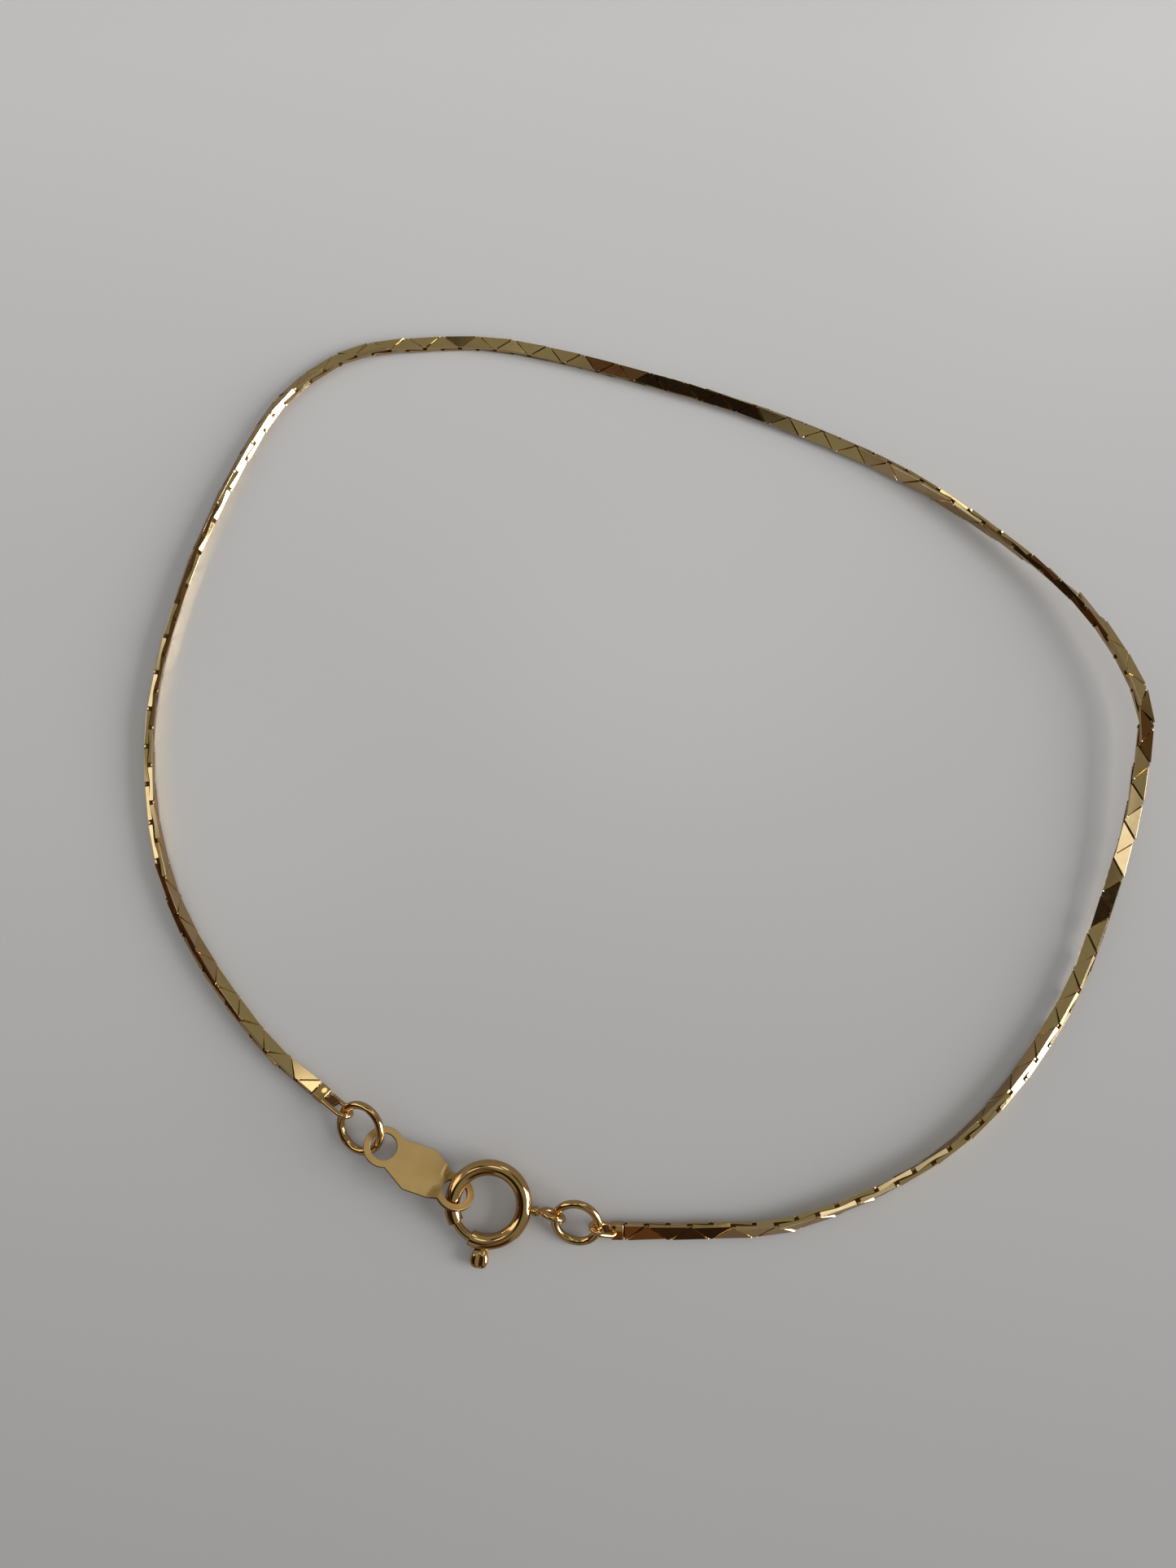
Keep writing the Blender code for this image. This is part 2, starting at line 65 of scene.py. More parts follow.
# Chain, whose route is the middle of its underside: X, Y and lift off the table
CHAIN_WIDTH = 0.90
CHAIN_THICKNESS = 0.53
LINK_STEP = 1.23
END_PLATE_LENGTH = 0.70
END_GAP = 0.08
LEFT_REACH = 1.41
RIGHT_REACH = 0.765
ROUTE = [
    (6.6, -9.1, 0.0),
    (11.8, -8.7, 0.0),
    (21.2, -4.5, 0.0),
    (28.2, 3.1, 0.1),
    (32.6, 12.2, 0.6),
    (34.1, 16.9, 1.0),
    (34.9, 21.8, 1.3),
    (33.3, 26.6, 1.1),
    (30.4, 30.8, 0.6),
    (22.7, 37.6, 0.1),
    (13.6, 42.5, 0.0),
    (3.8, 46.1, 0.0),
    (-6.2, 48.7, 0.0),
    (-11.3, 48.8, 0.0),
    (-16.4, 47.9, 0.0),
    (-20.5, 44.8, 0.0),
    (-23.1, 40.3, 0.0),
    (-26.5, 30.6, 0.0),
    (-27.8, 20.3, 0.0),
    (-25.5, 10.3, 0.0),
    (-19.6, 1.8, 0.0),
]
ROUTE_SAMPLES = 24

# Turn of the chain's wide face away from facing up, at shares of its length
TWIST = [
    (0.00, 20),
    (0.03, 33),
    (0.06, 60),
    (0.09, 75),
    (0.13, 95),
    (0.17, 125),
    (0.20, 140),
    (0.24, 165),
    (0.28, 178),
    (0.32, 195),
    (0.34, 215),
    (0.37, 245),
    (0.40, 265),
    (0.43, 290),
    (0.46, 305),
    (0.49, 315),
    (0.52, 330),
    (0.56, 338),
    (0.61, 352),
    (0.64, 368),
    (0.67, 385),
    (0.70, 395),
    (0.74, 408),
    (0.78, 420),
    (0.81, 428),
    (0.85, 437),
    (0.88, 447),
    (0.91, 475),
    (0.94, 487),
    (0.97, 500),
    (1.00, 515),
]

# One link plate, bent along a corner of the chain: half its length there and at its far edge, and its cuts
PLATE_HALF = 1.08
PLATE_APEX = 0.07
PLATE_END = 0.05
PLATE_SOFT = 0.02
PLATE_DEPTH = 0.11
PLATE_CHAMFER = 0.018
FOLD_RADIUS = 0.05
SEAM = 0.055
WAIST = 0.085
WAIST_STEPS = 5
NARROW_SHARE = 0.44
CROWN = 6.0
CORE_DEPTH = 0.125
CORE_STEP = LINK_STEP / 3
PLATE_TILT = 1.0
PLATE_LIFT = 0.006

# End loops, solder and the two jump rings
LINK_PLAY = 0.07
LEFT_JUMP_OUTER = 3.25
RIGHT_JUMP_OUTER = 3.0
JUMP_WIRE = 0.46
END_WIRE = 0.28
END_LOOP_HEIGHT = 1.18
END_SOLDER = 0.15
END_ROUNDING = 0.06
BEAD_RADIUS = 0.2
BEAD_STRETCH = 1.3
BEAD_STANDOFF = 0.02
WEB_SHARE = 0.66
WEB_THICKNESS = 0.26
WEB_ROUNDING = 0.04
TAG_PLAY = 0.18
LEFT_HEADING = 142
RIGHT_HEADING = -13.8
LEFT_JUMP_HEADING = 144.8
LEFT_JUMP_RISE = 39
LEFT_JUMP_TILT = 33
RIGHT_JUMP_HEADING = -16.6
RIGHT_JUMP_RISE = 72
RIGHT_JUMP_TILT = 34

# Tag plate
TAG_HOLES_APART = 4.82
TAG_HOLE = 1.54
TAG_LOOP = 2.32
TAG_WIDTH = 2.85
TAG_CORNER_SHIFT = 0.25
TAG_THICKNESS = 0.22
TAG_HEADING = 148.5
TAG_TILT = 23
TAG_TWIST = 21
TAG_TWIST_START = 1.10
TAG_TWIST_END = 1.75
TAG_TWIST_CUTS = 17
TAG_ROUNDING = 0.03
TAG_SHARP = 70
LOOP_ARC = 125
EDGE_STEEP = 0.6

# The two points that blunt each wide corner of the tag, from the corner's tip
TAG_BLUNT = [(0.03, -0.015), (-0.04, -0.005)]

# Spring ring, eye and latch
RING_OUTER = 5.0
RING_TUBE = 0.89
RING_BORE = 0.76
RING_PLACE = Vector((-5.71, -7.67, 0)) * MM
RING_TILT = 8
TAG_ON_RING = 161
MOUTH_START = 207.5
MOUTH_END = 240.8
MOUTH_RIM_TURN = 0.4
MOUTH_RIM_SOFT = 0.02
EYE_OUTER = 1.56
EYE_WIRE = 0.34
EYE_STANDOFF = 0.47
EYE_PLACE = -8.7
EYE_HEADING = -20
EYE_LEAN = 10
EYE_DROP = 0.06
BALL_RADIUS = 0.29
BALL_SHARE = 0.37
LATCH_ROD = 0.50
LATCH_TRAVEL = 40
TONGUE_SEAT = 7
TONGUE_TAIL = 15
KNOB_PLACE = 261
KNOB_TIP = 3.54
KNOB_WIDTH = 1.03
KNOB_THICKNESS = 0.62
NECK_WIDTH = 0.74
NECK_THICKNESS = 0.32
NECK_LENGTH = 0.30
NECK_OVERLAP = 0.1
NECK_ROUNDING = 0.05
SLOT_PLAY = 0.06

# Thumb piece: its width as a share of the knob's, at shares of its run, and then a round nose
KNOB_WIDTHS = [(0, 0.72), (0.35, 0.97), (0.6, 1), (0.8, 0.87)]
NOSE_RUN = 0.2
HEEL_HEIGHT = 0.55
HEEL_RISE = 2.2
GROOVE_DEPTH = 0.34
GROOVE_REACH = 0.095
GROOVE_START = 0.12
GROOVE_FADE = 0.15

ring_radius = (RING_OUTER - RING_TUBE) / 2
left_radius = (LEFT_JUMP_OUTER - JUMP_WIRE) / 2
right_radius = (RIGHT_JUMP_OUTER - JUMP_WIRE) / 2
eye_radius = (EYE_OUTER - EYE_WIRE) / 2


def heading(degrees):
    """A level direction of unit length."""
    return Vector((cos(radians(degrees)), sin(radians(degrees)), 0))


def lying(centre, rise, tilt):
    """Place of a flat piece whose side towards the heading rise is lifted by tilt."""
    turn = Matrix.Rotation(radians(tilt), 4, heading(rise).cross(UP))
    return Matrix.Translation(centre) @ turn


def framed(centre, along, side):
    """Place of a piece whose local X and Y run along two directions."""
    columns = (along, side, along.cross(side))
    return Matrix.Translation(centre) @ Matrix(columns).transposed().to_4x4()


def placed(points, place):
    """Points in millimetres, put in place in the row's frame in metres."""
    turn = np.array(place.to_3x3())
    shift = np.array(place.translation + TABLE_ORIGIN)
    return np.asarray(points) * MM @ turn.T + shift


def grid_faces(rows, columns, closed_rows, closed_columns):
    """Quads over a grid of points kept row after row."""
    faces = []
    for i in range(rows if closed_rows else rows - 1):
        for j in range(columns if closed_columns else columns - 1):
            k, m = (i + 1) % rows, (j + 1) % columns
            faces.append((i * columns + j, i * columns + m, k * columns + m, k * columns + j))
    return faces


def form(name, parts, node, body):
    """One object that stands for a CAD node, of parts with their points, faces, material and smoothness."""
    points, faces, finish, soft, materials = [], [], [], [], []
    start = 0
    for part_points, part_faces, material, smooth in parts:
        if material not in materials:
            materials.append(material)
        points.append(part_points)
        faces += [[start + i for i in face] for face in part_faces]
        finish += [materials.index(material)] * len(part_faces)
        soft += [smooth] * len(part_faces)
        start += len(part_points)
    mesh = bpy.data.meshes.new(name)
    kept = np.clip(np.concatenate(points), *np.array(cad_box))
    mesh.from_pydata(kept.tolist(), [], faces)
    for material in materials:
        mesh.materials.append(material)
    mesh.polygons.foreach_set("material_index", finish)
    mesh.set_sharp_from_angle(angle=radians(SHARP_ANGLE))
    mesh.polygons.foreach_set("use_smooth", soft)
    mesh.update()
    made = bpy.data.objects.new(name, mesh)
    bpy.context.collection.objects.link(made)
    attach(made, body)
    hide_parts(node)


# Blender meshes

def taken(shape):
    """Points and faces of a Blender mesh, which is freed."""
    shape.verts.index_update()
    points = np.array([vert.co[:] for vert in shape.verts])
    faces = [[vert.index for vert in face.verts] for face in shape.faces]
    shape.free()
    return points, faces


def open_edges(shape):
    """The edges that have a face on one side only."""
    return [edge for edge in shape.edges if edge.is_boundary]


def cut(shape, place, across, clear=False):
    """Cut the faces along a plane, and clear what lies on the side of its normal if asked."""
    everything = [*shape.verts, *shape.edges, *shape.faces]
    bmesh.ops.bisect_plane(shape, geom=everything, plane_co=place, plane_no=across, clear_outer=clear)


# Materials
CLOUD_SCALE = 900
SMEAR_SCALE = 2600
SCRATCH_TURN = (0.2, 0.3, 0.5)


def noise(tree, **values):
    """A noise texture with its inputs set."""
    node = tree.nodes.new("ShaderNodeTexNoise")
    for key, value in values.items():
        node.inputs[key].default_value = value
    return node


def gold(name, light, deep, roughness, scratches):
    """Worked gold: its tones, its least and most roughness, and its scratches' depth, scale and stretch."""
    smooth_low, smooth_high = roughness
    scratch_depth, scratch_scale, stretch = scratches
    material = bpy.data.materials.new(name)
    material.use_nodes = True
    tree = material.node_tree
    link = tree.links.new
    shader = tree.nodes["Principled BSDF"]
    shader.inputs["Metallic"].default_value = 1
    where = tree.nodes.new("ShaderNodeTexCoord")

    cloud = noise(tree, Scale=CLOUD_SCALE, Detail=4, Roughness=0.6)
    link(where.outputs["Object"], cloud.inputs["Vector"])
    tone = tree.nodes.new("ShaderNodeValToRGB")
    tone.color_ramp.elements[0].position = 0.35
    tone.color_ramp.elements[0].color = (*deep, 1)
    tone.color_ramp.elements[1].position = 0.65
    tone.color_ramp.elements[1].color = (*light, 1)
    link(cloud.outputs["Fac"], tone.inputs["Fac"])
    link(tone.outputs["Color"], shader.inputs["Base Color"])

    smear = noise(tree, Scale=SMEAR_SCALE, Detail=3, Roughness=0.7)
    link(where.outputs["Object"], smear.inputs["Vector"])
    rough = tree.nodes.new("ShaderNodeMapRange")
    rough.inputs["From Min"].default_value = 0.3
    rough.inputs["From Max"].default_value = 0.7
    rough.inputs["To Min"].default_value = smooth_low
    rough.inputs["To Max"].default_value = smooth_high
    link(smear.outputs["Fac"], rough.inputs["Value"])
    link(rough.outputs["Result"], shader.inputs["Roughness"])

    slide = tree.nodes.new("ShaderNodeMapping")
    slide.inputs["Rotation"].default_value = SCRATCH_TURN
    slide.inputs["Scale"].default_value = (1, stretch, stretch)
    link(where.outputs["Object"], slide.inputs["Vector"])
    scratch = noise(tree, Scale=scratch_scale, Detail=2, Roughness=0.5)
    link(slide.outputs["Vector"], scratch.inputs["Vector"])
    bump = tree.nodes.new("ShaderNodeBump")
    bump.inputs["Strength"].default_value = 1
    bump.inputs["Distance"].default_value = scratch_depth
    link(scratch.outputs["Fac"], bump.inputs["Height"])
    link(bump.outputs["Normal"], shader.inputs["Normal"])
    return material


chain_gold = gold("chain_gold", (0.95, 0.76, 0.45), (0.90, 0.69, 0.38), (0.05, 0.12), (1.2e-7, 3000, 6))
wire_gold = gold("wire_gold", (0.94, 0.67, 0.34), (0.89, 0.60, 0.28), (0.03, 0.08), (1.0e-7, 2500, 3))
satin_gold = gold("satin_gold", (0.80, 0.58, 0.27), (0.76, 0.54, 0.24), (0.50, 0.58), (6e-7, 9000, 1.5))
# Dark brown gold that paints shade and dark reflection on the tag's cut edges and the end loops' webs, which
# are the same gold as the rest
painted_shade_gold = gold("painted_shade_gold", (0.34, 0.19, 0.07), (0.26, 0.14, 0.05), (0.30, 0.40), (4e-7, 9000, 1.5))
# Very dark gold that paints the shade inside the chain, seen through the gaps between the plates
painted_shade_core_gold = gold("painted_shade_core_gold", (0.16, 0.08, 0.03), (0.10, 0.05, 0.02), (0.45, 0.6), (4e-7, 3000, 2))


# Chain

def curve_through(points):
    """A smooth curve through the points, with the length up to each of its samples."""
    whole = [2 * points[0] - points[1], *points, 2 * points[-1] - points[-2]]
    samples = []
    for a, b, c, d in zip(whole, whole[1:], whole[2:], whole[3:]):
        t0 = (b - a).length ** 0.5
        t1 = t0 + (c - b).length ** 0.5
        t2 = t1 + (d - c).length ** 0.5
        for i in range(ROUTE_SAMPLES):
            t = t0 + (t1 - t0) * i / ROUTE_SAMPLES
            ab = a.lerp(b, t / t0)
            bc = b.lerp(c, (t - t0) / (t1 - t0))
            cd = c.lerp(d, (t - t1) / (t2 - t1))
            before = ab.lerp(bc, t / t1)
            after = bc.lerp(cd, (t - t0) / (t2 - t0))
            samples.append(before.lerp(after, (t - t0) / (t1 - t0)))
    samples.append(points[-1])
    line = np.array(samples)
    steps = np.linalg.norm(np.diff(line[:, :2], axis=0), axis=1)
    return line, np.concatenate([[0], np.cumsum(steps)])


def chain_frame(line, length, along):
    """Middle, travel, wide-face normal and narrow-face normal at one length along the route."""
    x, y, lift = (np.interp(along, length, line[:, i]) for i in range(3))
    probe = LINK_STEP / 2
    before = [np.interp(along - probe, length, line[:, i]) for i in range(2)]
    after = [np.interp(along + probe, length, line[:, i]) for i in range(2)]
    travel = Vector((after[0] - before[0], after[1] - before[1], 0)).normalized()
    inward = UP.cross(travel)
    shares, turns = zip(*TWIST)
    turn = radians(np.interp(along / length[-1], shares, turns))
    wide = cos(turn) * UP - sin(turn) * inward
    narrow = sin(turn) * UP + cos(turn) * inward
    rest = abs(cos(turn)) * CHAIN_THICKNESS / 2 + abs(sin(turn)) * CHAIN_WIDTH / 2
    return Vector((x, y, lift + rest)), travel, wide, narrow


def plate_outline():
    """Outline of a link plate: along the chain, and across from its bend, positive on the wide side."""
    reach = CHAIN_WIDTH - SEAM
    end = PLATE_HALF - PLATE_END
    waist = []
    for i in range(-WAIST_STEPS, WAIST_STEPS + 1):
        along = end * i / WAIST_STEPS
        share = NARROW_SHARE - WAIST * cos(pi * along / LINK_STEP)
        waist.append((along, -CHAIN_THICKNESS * share))
    low = waist[-1][1]
    right = [
        (PLATE_HALF - 0.3 * PLATE_END, low + 0.3 * PLATE_END),
        (PLATE_HALF, low + PLATE_END),
        (PLATE_HALF, -PLATE_SOFT),
        (PLATE_HALF - PLATE_SOFT, PLATE_SOFT / 2),
        (PLATE_APEX + PLATE_SOFT, reach - PLATE_SOFT),
        (PLATE_APEX - PLATE_SOFT / 2, reach),
    ]
    left = [(-x, y) for x, y in reversed(right)]
    return waist + right + left


def flat_plate(outline):
    """A closed flat plate, from its face at Z 0 down, with a chamfer round the face."""
    shape = bmesh.new()
    face = shape.faces.new([shape.verts.new((x, y, 0)) for x, y in outline])
    bmesh.ops.inset_region(shape, faces=[face], thickness=PLATE_CHAMFER, use_even_offset=True)
    rim = open_edges(shape)
    for vert in {vert for edge in rim for vert in edge.verts}:
        vert.co.z = -PLATE_CHAMFER
    deeper = bmesh.ops.extrude_edge_only(shape, edges=rim)["geom"]
    for vert in (part for part in deeper if isinstance(part, bmesh.types.BMVert)):
        vert.co.z = -PLATE_DEPTH
    bmesh.ops.holes_fill(shape, edges=open_edges(shape), sides=0)
    return shape


def bent(along, across, height):
    """A point of the flat plate bent round the chain's corner: along, in from the wide and narrow faces."""
    arc = FOLD_RADIUS * pi / 4
    depth = -height
    lean = sin(radians(CROWN))
    if abs(across) > arc:
        run = max(FOLD_RADIUS + abs(across) - arc, depth)
        if across > 0:
            return along, depth, run
        seam = CHAIN_THICKNESS / 2
        return along, run, depth + lean * (seam - run)
    corner = lean * CHAIN_THICKNESS / 2
    if depth > FOLD_RADIUS:
        return along, depth, depth + corner
    turn = radians(45) - across / FOLD_RADIUS
    left = FOLD_RADIUS - depth
    share = 0.5 - 0.5 * across / arc
    return along, FOLD_RADIUS - left * cos(turn), FOLD_RADIUS - left * sin(turn) + share * corner


def plate_forms():
    """Points and faces of a whole plate, and of its halves for the chain's ends."""
    forms = {}
    arc = FOLD_RADIUS * pi / 4
    for kind in ("whole", "first", "last"):
        shape = flat_plate(plate_outline())
        for place in (-arc, -arc / 3, arc / 3, arc):
            cut(shape, (0, place, 0), (0, 1, 0))
        if kind != "whole":
            sign = 1 if kind == "first" else -1
            cut(shape, (0, 0, 0), (-sign, 0, 0), clear=True)
            bmesh.ops.holes_fill(shape, edges=open_edges(shape), sides=0)
        bmesh.ops.recalc_face_normals(shape, faces=shape.faces)
        flat, faces = taken(shape)
        forms[kind] = (np.array([bent(*point) for point in flat]), faces)
    return forms


def chain_plates(line, length):
    """Four corner rows of rigid plates, two of them half a step on from the others."""
    forms = plate_forms()
    start = END_PLATE_LENGTH + END_GAP
    room = length[-1] - 2 * start
    count = round(room / LINK_STEP)
    step = room / count
    chance = np.random.default_rng(SEED)
    points, faces = [], []
    total = 0
    for k in range(count + 1):
        middle, travel, wide, narrow = chain_frame(line, length, start + k * step)
        sides = ((1, 1), (-1, -1)) if k % 2 == 0 else ((1, -1), (-1, 1))
        kind = "first" if k == 0 else "last" if k == count else "whole"
        flat, plate_faces = forms[kind]
        for a, b in sides:
            tilt = chance.normal(0, radians(PLATE_TILT), 3)
            lift = chance.uniform(-PLATE_LIFT, 0)
            high = a * (CHAIN_THICKNESS / 2 - flat[:, 1] + lift)
            across = b * (CHAIN_WIDTH / 2 - flat[:, 2] + lift)
            rolled = high + tilt[0] * across + tilt[1] * flat[:, 0]
            swung = across - tilt[0] * high + tilt[2] * flat[:, 0]
            plate = (
                np.array(middle)
                + flat[:, :1] * np.array(travel)
                + rolled[:, None] * np.array(wide)
                + swung[:, None] * np.array(narrow)
            )
            order = -1 if a * b > 0 else 1
            faces += [[total + i for i in face[::order]] for face in plate_faces]
            points.append(plate)
            total += len(plate)
    return np.concatenate(points), faces


def chain_core(line, length):
    """The hidden web of the links: a narrow bar that follows the plates, coloured very dark to paint the
    shade inside the chain.
    """
    start = END_PLATE_LENGTH
    places = np.arange(start, length[-1] - start, CORE_STEP)
    high = CHAIN_THICKNESS / 2 - CORE_DEPTH
    across = CHAIN_WIDTH / 2 - CORE_DEPTH
    corners = [(high, across), (high, -across), (-high, -across), (-high, across)]
    points = []
    for place in places:
        middle, _, wide, narrow = chain_frame(line, length, place)
        points += [middle + a * wide + b * narrow for a, b in corners]
    faces = grid_faces(len(places), 4, False, True)
    last = len(points)
    return np.array(points), faces + [(0, 1, 2, 3), (last - 1, last - 2, last - 3, last - 4)]


# Wire and solder

def round_wire(middle, outward, radius, sides, closed):
    """A round wire about a line in the local XY plane, with a radius at each of its points."""
    turns = np.linspace(0, 2 * pi, sides, endpoint=False)
    up = np.array((0, 0, 1))
    ring = np.cos(turns)[None, :, None] * outward[:, None, :] + np.sin(turns)[None, :, None] * up
    points = (middle[:, None, :] + radius[:, None, None] * ring).reshape(-1, 3)
    faces = grid_faces(len(middle), sides, closed, True)
    if not closed:
        last = len(points)
        faces += [tuple(range(sides))[::-1], tuple(range(last - sides, last))]
    return points, faces


def loop_wire(radius, straight, wire, segments, sides, swell):
    """A closed wire loop whose halves are a straight run apart along X, with a share of swelling round it."""
    turns = 2 * pi * (np.arange(segments) + 0.5) / segments
    outward = np.stack([np.cos(turns), np.sin(turns), 0 * turns], axis=1)
    middle = radius * outward
    middle[:, 0] += np.sign(outward[:, 0]) * straight / 2
    return round_wire(middle, outward, wire / 2 * (1 + swell(turns)), sides, True)


def solder_swell(place, width, amount):
    """Swelling of a wire where its ends are soldered."""
    centre = radians(place)

    def swell(turns):
        off = (turns - centre + pi) % (2 * pi) - pi
        return amount * np.exp(-((off / radians(width)) ** 2))

    return swell


def no_swell(turns):
    """No swelling anywhere round the wire."""
    return 0 * turns


def blob(radius, stretch):
    """A bead of solder, longer along X."""
    shape = bmesh.new()
    bmesh.ops.create_uvsphere(shape, u_segments=24, v_segments=14, radius=radius)
    for vert in shape.verts:
        vert.co.x *= stretch
    return taken(shape)


def soft_block(size, rounding):
    """A block with rounded edges about its middle."""
    shape = bmesh.new()
    bmesh.ops.create_cube(shape, size=1)
    bmesh.ops.scale(shape, vec=size, verts=shape.verts)
    bmesh.ops.bevel(shape, geom=shape.edges, offset=rounding, segments=3, profile=0.5, affect="EDGES")
    return taken(shape)


def put(part, place, material, smooth=True):
    """A part put in place, with its material."""
    points, faces = part
    return placed(points, place), faces, material, smooth


def rim_height(radius, rise, tilt, towards):
    """Height of a leaning ring's middle line above its centre, on the side of one heading."""
    return radius * sin(radians(tilt)) * cos(radians(towards - rise))


def end_piece(name, line, length, at_start, held, node):
    """End plate with a soldered wire loop, which holds a ring of a known plane and radius at one heading."""
    plane, radius, towards = held
    near = 0 if at_start else length[-1]
    sign = 1 if at_start else -1
    middle, travel, _, narrow = chain_frame(line, length, near + sign * END_PLATE_LENGTH / 2)
    middle = middle * MM
    plate = soft_block(Vector((END_PLATE_LENGTH, CHAIN_WIDTH, CHAIN_THICKNESS)), END_ROUNDING)
    flat = plane.inverted() @ (plane.translation + heading(towards))
    out = Vector((flat.x, flat.y, 0)).normalized()
    crossing = plane @ (radius * MM * out)
    wire = plane.to_3x3() @ UP.cross(out)
    solder = middle - sign * travel * (END_PLATE_LENGTH / 2 - END_SOLDER) * MM
    along = (crossing - solder).normalized()
    far = crossing + along * (JUMP_WIRE / 2 + LINK_PLAY + END_WIRE / 2) * MM
    bend = (END_LOOP_HEIGHT - END_WIRE) / 2
    straight = (far - solder).length / MM - 2 * bend
    upright = wire.cross(along).normalized()
    loop = loop_wire(bend, straight, END_WIRE, segments=64, sides=16, swell=no_swell)
    joint = middle - sign * travel * (END_PLATE_LENGTH / 2 + BEAD_STANDOFF) * MM
    bead = blob(BEAD_RADIUS, BEAD_STRETCH)
    web_run = straight * WEB_SHARE
    web = soft_block(Vector((web_run, 2 * bend, WEB_THICKNESS)), WEB_ROUNDING)
    web_place = framed(joint + along * web_run / 2 * MM, along, upright)
    parts = [
        # The web between the loop's wires is coloured dark as painted shade
        put(web, web_place, painted_shade_gold),
        put(plate, framed(middle, travel, narrow), wire_gold),
        put(loop, framed((far + solder) / 2, along, upright), wire_gold),
        put(bead, framed(joint, along, upright), wire_gold),
    ]
    form(name, parts, node, "bracelet")


# Tag plate

def arc_points(centre, radius, start, end, steps):
    """Points on an arc about a centre on the local X axis."""
    turns = [radians(start + (end - start) * i / steps) for i in range(steps + 1)]
    return [(centre + radius * cos(turn), radius * sin(turn)) for turn in turns]


def closed_line(shape, points):
    """Edges round a closed flat line."""
    verts = [shape.verts.new((x, y, 0)) for x, y in points]
    return [shape.edges.new((verts[i], verts[(i + 1) % len(verts)])) for i in range(len(verts))]


def flat_tag(reach):
    """The tag before its twist: a plate with blunted wide corners and a holed loop at each end."""
    shape = bmesh.new()
    rim = arc_points(reach, TAG_LOOP / 2, -LOOP_ARC, LOOP_ARC, steps=40)
    corner = [(TAG_CORNER_SHIFT + x, TAG_WIDTH / 2 + y) for x, y in TAG_BLUNT]
    half = rim + corner
    edges = closed_line(shape, half + [(-x, -y) for x, y in half])
    for centre in (reach, -reach):
        edges += closed_line(shape, arc_points(centre, TAG_HOLE / 2, 0, 360, steps=48)[:-1])
    bmesh.ops.triangle_fill(shape, edges=edges, use_beauty=True, use_dissolve=False)
    raised = bmesh.ops.extrude_face_region(shape, geom=shape.faces[:])["geom"]
    top = [part for part in raised if isinstance(part, bmesh.types.BMVert)]
    bmesh.ops.translate(shape, vec=TAG_THICKNESS * UP, verts=top)
    bmesh.ops.translate(shape, vec=-TAG_THICKNESS / 2 * UP, verts=shape.verts)
    bmesh.ops.recalc_face_normals(shape, faces=shape.faces)
    sharp = [
        edge
        for edge in shape.edges
        if len(edge.link_faces) == 2 and edge.calc_face_angle() > radians(TAG_SHARP)
    ]
    bmesh.ops.bevel(shape, geom=sharp, offset=TAG_ROUNDING, segments=2, profile=0.5, affect="EDGES")
    return shape


def twist_tag(shape):
    """Turn the tag's right loop about its length, softly from where the twist starts to where it ends."""
    run = TAG_TWIST_END - TAG_TWIST_START
    for share in np.linspace(0, 1, TAG_TWIST_CUTS):
        cut(shape, (TAG_TWIST_START + share * run, 0, 0), (1, 0, 0))
    for vert in shape.verts:
        share = min(1, max(0, (vert.co.x - TAG_TWIST_START) / run))
        turn = -radians(TAG_TWIST) * share * share * (3 - 2 * share)
        vert.co = Matrix.Rotation(turn, 3, "X") @ vert.co
    shape.normal_update()


def tag_form(left, right):
    """Satin plate between its two hole centres, its cut edges given painted shade in a darker gold than its
    faces.
    """
    shape = flat_tag((right - left).length / MM / 2)
    twist_tag(shape)
    # The steep faces are the tag's cut edges, which get painted shade
    is_flat = [abs(face.normal.z) > EDGE_STEEP for face in shape.faces]
    points, faces = taken(shape)
    flats = [face for face, flat in zip(faces, is_flat) if flat]
    rims = [face for face, flat in zip(faces, is_flat) if not flat]
    along = (right - left).normalized()
    level = UP.cross(along).normalized()
    side = Matrix.Rotation(-radians(TAG_TILT), 3, along) @ level
    place = framed((left + right) / 2, along, side)
    parts = [put((points, flats), place, satin_gold, False), put((points, rims), place, painted_shade_gold)]
    form("tag_plate_satin", parts, "tag_plate", "bracelet")


# Clasp

def ring_skin(angles, radii, sides):
    """Points of a bent tube round the spring ring."""
    turns = np.linspace(0, 2 * pi, sides, endpoint=False)
    around = np.radians(angles)
    out = np.stack([np.cos(around), np.sin(around), 0 * around], axis=1)
    up = np.array((0, 0, 1))
    ring = np.cos(turns)[None, :, None] * out[:, None, :] + np.sin(turns)[None, :, None] * up
    return (ring_radius * out[:, None, :] + radii[:, None, None] * ring).reshape(-1, 3)


